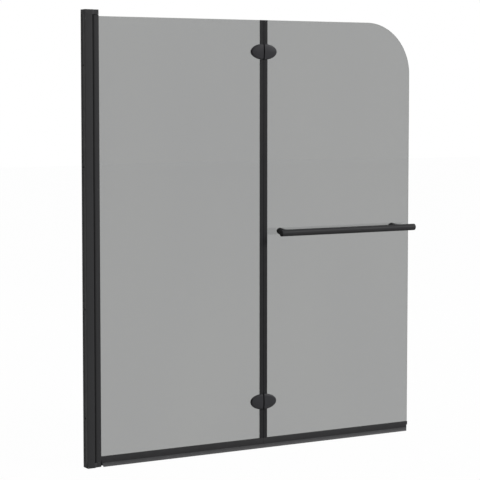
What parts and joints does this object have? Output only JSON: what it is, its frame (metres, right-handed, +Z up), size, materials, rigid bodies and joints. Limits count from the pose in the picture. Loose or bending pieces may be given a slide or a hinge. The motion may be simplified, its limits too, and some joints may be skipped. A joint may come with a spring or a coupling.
{
  "type": "folding shower screen",
  "caption": "Folding bath shower screen: tinted glass leaves on a wall channel pivot and oval fold hinges, with a towel rail and drip seals, in black.",
  "frame": {"origin": "foot of the wall face, in the middle of the glass: the wall plane, the glass mid-plane and the underside of the foot cap meet there", "axes": "+X from the wall along the glass, +Y through the glass away from the towel rail, +Z up"},
  "size_m": [1.2, 0.0714, 1.4],
  "materials": {
    "black_coated_aluminium": "fine satin powder coat on extruded aluminium",
    "black_coated_zinc": "satin powder coat on die-cast zinc",
    "black_coated_steel": "black coated steel",
    "stainless_steel": "plain stainless steel",
    "tinted_glass": "polished grey tinted safety glass",
    "black_rubber": "matt black rubber",
    "soft_black_pvc": "extruded soft black PVC",
    "black_nylon": "moulded black nylon"
  },
  "bodies": {
    "wall_side": {"wall_channel": "black_coated_aluminium", "channel_post": "black_coated_aluminium", "post_lock_screws": "black_coated_steel", "pivot_wiper_seal": "black_rubber", "head_cap": "black_nylon", "foot_cap": "black_nylon", "cap_screws": "black_coated_steel", "head_bush": "black_nylon", "foot_bush": "black_nylon"},
    "first_panel": {"pivot_profile": "black_coated_aluminium", "head_pivot_plug": "black_nylon", "foot_pivot_plug": "black_nylon", "head_pivot_pin": "stainless_steel", "foot_pivot_pin": "stainless_steel", "glazing_gasket": "black_rubber", "first_glass": "tinted_glass", "first_edge_seal": "soft_black_pvc", "first_drip_seal": "soft_black_pvc", "upper_hinge_pin": "stainless_steel", "upper_hinge_first_shell": "black_coated_zinc", "upper_hinge_first_leaf": "black_coated_steel", "upper_hinge_first_cover": "black_coated_zinc", "upper_hinge_first_screws": "stainless_steel", "upper_hinge_first_gaskets": "black_rubber", "lower_hinge_pin": "stainless_steel", "lower_hinge_first_shell": "black_coated_zinc", "lower_hinge_first_leaf": "black_coated_steel", "lower_hinge_first_cover": "black_coated_zinc", "lower_hinge_first_screws": "stainless_steel", "lower_hinge_first_gaskets": "black_rubber"},
    "second_panel": {"second_glass": "tinted_glass", "second_edge_seal": "soft_black_pvc", "second_drip_seal": "soft_black_pvc", "towel_rail_tube": "black_coated_aluminium", "towel_rail_near_cap": "black_coated_aluminium", "towel_rail_far_cap": "black_coated_aluminium", "towel_rail_near_stand": "black_coated_aluminium", "towel_rail_far_stand": "black_coated_aluminium", "towel_rail_anchors": "black_coated_aluminium", "towel_rail_front_washers": "black_rubber", "towel_rail_back_washers": "black_rubber", "towel_rail_back_discs": "black_coated_aluminium", "towel_rail_bolts": "black_coated_steel", "upper_hinge_second_shell": "black_coated_zinc", "upper_hinge_second_leaf": "black_coated_steel", "upper_hinge_second_cover": "black_coated_zinc", "upper_hinge_second_screws": "stainless_steel", "upper_hinge_second_gaskets": "black_rubber", "lower_hinge_second_shell": "black_coated_zinc", "lower_hinge_second_leaf": "black_coated_steel", "lower_hinge_second_cover": "black_coated_zinc", "lower_hinge_second_screws": "stainless_steel", "lower_hinge_second_gaskets": "black_rubber"}
  },
  "joints": [
    {"name": "wall_pivot", "type": "hinge", "parent": "wall_side", "child": "first_panel", "pos_m": [0.036, 0, 0], "axis": [0, 0, 1], "range_deg": [-90, 90]},
    {"name": "leaf_fold", "type": "hinge", "parent": "first_panel", "child": "second_panel", "pos_m": [0.6305, 0.0115, 0], "axis": [0, 0, 1], "range_deg": [0, 180]}
  ]
}
